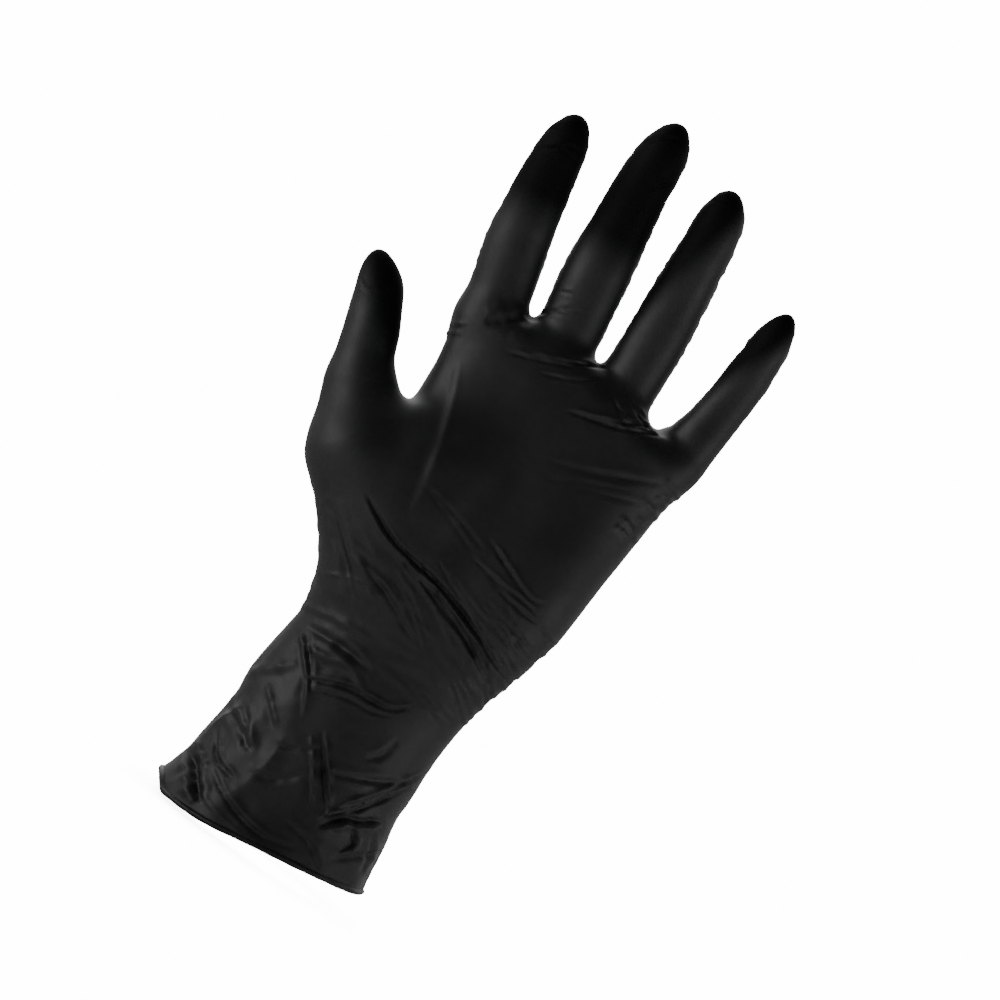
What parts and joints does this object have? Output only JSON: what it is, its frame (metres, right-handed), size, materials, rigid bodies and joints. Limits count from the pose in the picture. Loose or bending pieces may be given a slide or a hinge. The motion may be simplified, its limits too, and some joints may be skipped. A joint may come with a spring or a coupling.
{
  "type": "disposable nitrile glove",
  "caption": "Thin black nitrile examination glove in the shape a worn left hand gives it, split into film panels hinged at the wearer's joints, with a rolled bead round the open cuff.",
  "frame": {"origin": "centre of the cuff opening", "axes": "+Z from the cuff to the fingertips, palm facing -Y, thumb towards -X"},
  "size_m": [0.1192, 0.0536, 0.2431],
  "materials": {
    "film": "satin black dipped nitrile film",
    "bead": "satin black rolled nitrile bead"
  },
  "bodies": {
    "cuff": {"cuff": "film", "cuff_bead": "bead"},
    "wrist": {"wrist": "film"},
    "palm": {"palm": "film", "finger_webs": "film"},
    "thumb_base": {"thumb_base": "film"},
    "thumb_tip": {"thumb_tip": "film"},
    "index_finger_base": {"index_finger_base": "film"},
    "index_finger_mid": {"index_finger_mid": "film"},
    "index_finger_tip": {"index_finger_tip": "film"},
    "middle_finger_base": {"middle_finger_base": "film"},
    "middle_finger_mid": {"middle_finger_mid": "film"},
    "middle_finger_tip": {"middle_finger_tip": "film"},
    "ring_finger_base": {"ring_finger_base": "film"},
    "ring_finger_mid": {"ring_finger_mid": "film"},
    "ring_finger_tip": {"ring_finger_tip": "film"},
    "little_finger_base": {"little_finger_base": "film"},
    "little_finger_mid": {"little_finger_mid": "film"},
    "little_finger_tip": {"little_finger_tip": "film"}
  },
  "joints": [
    {"name": "wrist_extension", "type": "hinge", "parent": "cuff", "child": "wrist", "pos_m": [0, 0.0207, 0.06], "axis": [1, 0, 0], "range_deg": [-45, 0], "stiffness_Nm_per_rad": 0.02},
    {"name": "wrist_flexion", "type": "hinge", "parent": "wrist", "child": "palm", "pos_m": [0, -0.0202, 0.076], "axis": [1, 0, 0], "range_deg": [0, 60], "stiffness_Nm_per_rad": 0.02},
    {"name": "thumb_base_flexion", "type": "hinge", "parent": "palm", "child": "thumb_base", "pos_m": [-0.0501, -0.0162, 0.1194], "axis": [-0.766, 0, -0.6428], "range_deg": [-50, 0], "stiffness_Nm_per_rad": 0.004},
    {"name": "thumb_tip_flexion", "type": "hinge", "parent": "thumb_base", "child": "thumb_tip", "pos_m": [-0.05757, -0.014, 0.13556], "axis": [-0.9078, 0, -0.4195], "range_deg": [-60, 0], "stiffness_Nm_per_rad": 0.004},
    {"name": "index_finger_base_flexion", "type": "hinge", "parent": "palm", "child": "index_finger_base", "pos_m": [-0.03505, -0.00857, 0.169], "axis": [0.9799, 0, 0.1994], "range_deg": [0, 70], "stiffness_Nm_per_rad": 0.004},
    {"name": "index_finger_mid_flexion", "type": "hinge", "parent": "index_finger_base", "child": "index_finger_mid", "pos_m": [-0.03868, -0.00989, 0.18683], "axis": [0.9799, 0, 0.1994], "range_deg": [0, 85], "stiffness_Nm_per_rad": 0.004},
    {"name": "index_finger_tip_flexion", "type": "hinge", "parent": "index_finger_mid", "child": "index_finger_tip", "pos_m": [-0.042, -0.01275, 0.20315], "axis": [0.9799, 0, 0.1994], "range_deg": [0, 56], "stiffness_Nm_per_rad": 0.004},
    {"name": "middle_finger_base_flexion", "type": "hinge", "parent": "palm", "child": "middle_finger_base", "pos_m": [-0.0115, -0.00889, 0.169], "axis": [0.9919, 0, 0.1271], "range_deg": [0, 70], "stiffness_Nm_per_rad": 0.004},
    {"name": "middle_finger_mid_flexion", "type": "hinge", "parent": "middle_finger_base", "child": "middle_finger_mid", "pos_m": [-0.01438, -0.01049, 0.19145], "axis": [0.9919, 0, 0.1271], "range_deg": [0, 85], "stiffness_Nm_per_rad": 0.004},
    {"name": "middle_finger_tip_flexion", "type": "hinge", "parent": "middle_finger_mid", "child": "middle_finger_tip", "pos_m": [-0.01699, -0.01419, 0.21182], "axis": [0.9919, 0, 0.1271], "range_deg": [0, 56], "stiffness_Nm_per_rad": 0.004},
    {"name": "ring_finger_base_flexion", "type": "hinge", "parent": "palm", "child": "ring_finger_base", "pos_m": [0.01115, -0.0083, 0.169], "axis": [0.9945, 0, 0.1045], "range_deg": [0, 70], "stiffness_Nm_per_rad": 0.004},
    {"name": "ring_finger_mid_flexion", "type": "hinge", "parent": "ring_finger_base", "child": "ring_finger_mid", "pos_m": [0.00898, -0.00982, 0.1896], "axis": [0.9945, 0, 0.1045], "range_deg": [0, 85], "stiffness_Nm_per_rad": 0.004},
    {"name": "ring_finger_tip_flexion", "type": "hinge", "parent": "ring_finger_mid", "child": "ring_finger_tip", "pos_m": [0.00703, -0.01303, 0.20818], "axis": [0.9945, 0, 0.1045], "range_deg": [0, 56], "stiffness_Nm_per_rad": 0.004},
    {"name": "little_finger_base_flexion", "type": "hinge", "parent": "palm", "child": "little_finger_base", "pos_m": [0.03675, -0.00704, 0.169], "axis": [0.9987, 0, -0.0506], "range_deg": [0, 70], "stiffness_Nm_per_rad": 0.004},
    {"name": "little_finger_mid_flexion", "type": "hinge", "parent": "little_finger_base", "child": "little_finger_mid", "pos_m": [0.03741, -0.00759, 0.18201], "axis": [0.9987, 0, -0.0506], "range_deg": [0, 85], "stiffness_Nm_per_rad": 0.004},
    {"name": "little_finger_tip_flexion", "type": "hinge", "parent": "little_finger_mid", "child": "little_finger_tip", "pos_m": [0.03806, -0.00979, 0.19491], "axis": [0.9987, 0, -0.0506], "range_deg": [0, 56], "stiffness_Nm_per_rad": 0.004}
  ],
  "couplings": [
    {"joint": "index_finger_tip_flexion", "follows": "index_finger_mid_flexion", "ratio": 0.65},
    {"joint": "middle_finger_tip_flexion", "follows": "middle_finger_mid_flexion", "ratio": 0.65},
    {"joint": "ring_finger_tip_flexion", "follows": "ring_finger_mid_flexion", "ratio": 0.65},
    {"joint": "little_finger_tip_flexion", "follows": "little_finger_mid_flexion", "ratio": 0.65}
  ]
}
